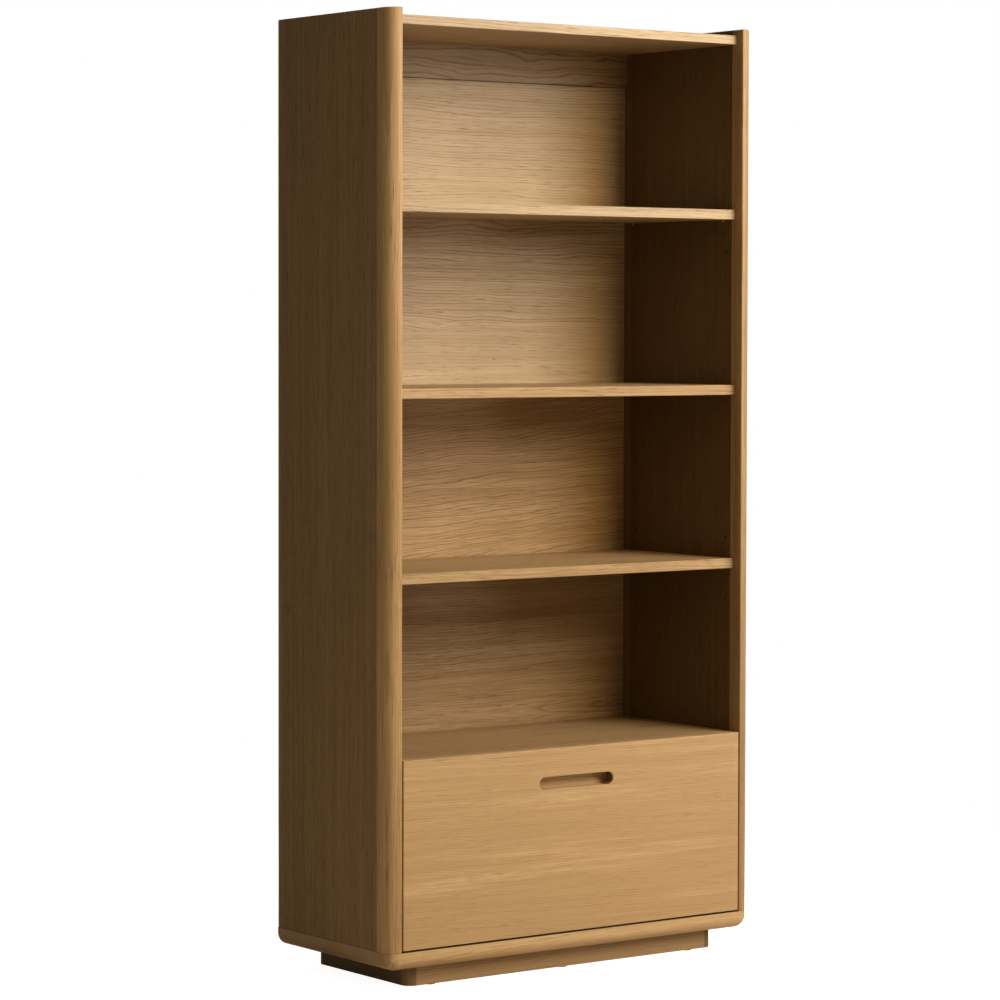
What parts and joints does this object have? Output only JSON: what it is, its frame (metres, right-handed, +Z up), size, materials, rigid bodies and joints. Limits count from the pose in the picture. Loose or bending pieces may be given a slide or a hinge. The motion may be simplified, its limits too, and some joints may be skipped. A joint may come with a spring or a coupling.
{
  "type": "bookcase",
  "caption": "Oak bookcase with rounded front posts, fixed and adjustable shelves in open bays, and a deep slotted drawer on telescopic slides over a recessed plinth.",
  "frame": {"origin": "middle of the footprint on the floor", "axes": "+Z up, -Y out of the open front, +X to the right of a person who faces the front"},
  "size_m": [0.888, 0.384, 1.85],
  "materials": {
    "oak_veneer": "satin-oiled oak veneer, straight and cathedral grain",
    "solid_oak": "satin-oiled solid oak",
    "drawer_box_wood": "clear-lacquered light hardwood",
    "dowel_wood": "bare fluted beech",
    "glue_block_wood": "bare planed softwood",
    "slide_steel": "zinc-plated steel strip",
    "screw_steel": "zinc-plated steel",
    "pin_nickel": "nickel-plated steel",
    "bumper_rubber": "soft grey rubber",
    "glide_plastic": "brown nylon"
  },
  "bodies": {
    "case": {"back_screws": "screw_steel", "back_top_rail": "solid_oak", "base_board": "solid_oak", "bottom_shelf": "oak_veneer", "case_dowels": "dowel_wood", "drawer_bumpers": "bumper_rubber", "floor_glides": "glide_plastic", "left_front_post": "solid_oak", "left_rear_post": "solid_oak", "left_side_panel": "oak_veneer", "left_slide_cabinet_member": "slide_steel", "lower_back_panel": "oak_veneer", "lower_shelf_pins": "pin_nickel", "middle_shelf": "oak_veneer", "plinth_front_rail": "solid_oak", "plinth_glue_blocks": "glue_block_wood", "plinth_left_front_corner": "solid_oak", "plinth_left_rail": "solid_oak", "plinth_left_rear_corner": "solid_oak", "plinth_rear_rail": "solid_oak", "plinth_right_front_corner": "solid_oak", "plinth_right_rail": "solid_oak", "plinth_right_rear_corner": "solid_oak", "plinth_screws": "screw_steel", "right_front_post": "solid_oak", "right_rear_post": "solid_oak", "right_side_panel": "oak_veneer", "right_slide_cabinet_member": "slide_steel", "slide_cabinet_screws": "screw_steel", "top_panel": "oak_veneer", "upper_back_panel": "oak_veneer", "upper_shelf_pins": "pin_nickel"},
    "drawer": {"drawer_front": "oak_veneer", "drawer_dowels": "dowel_wood", "drawer_front_screws": "screw_steel", "slide_drawer_screws": "screw_steel", "left_slide_drawer_member": "slide_steel", "right_slide_drawer_member": "slide_steel", "drawer_subfront": "drawer_box_wood", "drawer_left_side": "drawer_box_wood", "drawer_right_side": "drawer_box_wood", "drawer_back": "drawer_box_wood", "drawer_bottom": "drawer_box_wood"},
    "left_slide_middle": {"left_slide_middle_member": "slide_steel"},
    "left_outer_cages": {"left_slide_outer_ball_cages": "slide_steel"},
    "left_inner_cages": {"left_slide_inner_ball_cages": "slide_steel"},
    "right_slide_middle": {"right_slide_middle_member": "slide_steel"},
    "right_outer_cages": {"right_slide_outer_ball_cages": "slide_steel"},
    "right_inner_cages": {"right_slide_inner_ball_cages": "slide_steel"},
    "upper_shelf": {"upper_shelf": "oak_veneer"},
    "lower_shelf": {"lower_shelf": "oak_veneer"}
  },
  "joints": [
    {"name": "drawer_slide", "type": "slide", "parent": "case", "child": "drawer", "axis": [0, -1, 0], "range_m": [0, 0.34]},
    {"name": "left_slide_extend", "type": "slide", "parent": "case", "child": "left_slide_middle", "axis": [0, -1, 0], "range_m": [0, 0.17]},
    {"name": "left_outer_cage_roll", "type": "slide", "parent": "case", "child": "left_outer_cages", "axis": [0, -1, 0], "range_m": [0, 0.085]},
    {"name": "left_inner_cage_roll", "type": "slide", "parent": "case", "child": "left_inner_cages", "axis": [0, -1, 0], "range_m": [0, 0.255]},
    {"name": "right_slide_extend", "type": "slide", "parent": "case", "child": "right_slide_middle", "axis": [0, -1, 0], "range_m": [0, 0.17]},
    {"name": "right_outer_cage_roll", "type": "slide", "parent": "case", "child": "right_outer_cages", "axis": [0, -1, 0], "range_m": [0, 0.085]},
    {"name": "right_inner_cage_roll", "type": "slide", "parent": "case", "child": "right_inner_cages", "axis": [0, -1, 0], "range_m": [0, 0.255]},
    {"name": "upper_shelf_lift", "type": "slide", "parent": "case", "child": "upper_shelf", "axis": [0, 0, 1], "range_m": [0, 0.064]},
    {"name": "lower_shelf_lift", "type": "slide", "parent": "case", "child": "lower_shelf", "axis": [0, 0, 1], "range_m": [0, 0.064]}
  ],
  "couplings": [
    {"joint": "left_slide_extend", "follows": "drawer_slide", "ratio": 0.5},
    {"joint": "left_outer_cage_roll", "follows": "drawer_slide", "ratio": 0.25},
    {"joint": "left_inner_cage_roll", "follows": "drawer_slide", "ratio": 0.75},
    {"joint": "right_slide_extend", "follows": "drawer_slide", "ratio": 0.5},
    {"joint": "right_outer_cage_roll", "follows": "drawer_slide", "ratio": 0.25},
    {"joint": "right_inner_cage_roll", "follows": "drawer_slide", "ratio": 0.75}
  ]
}
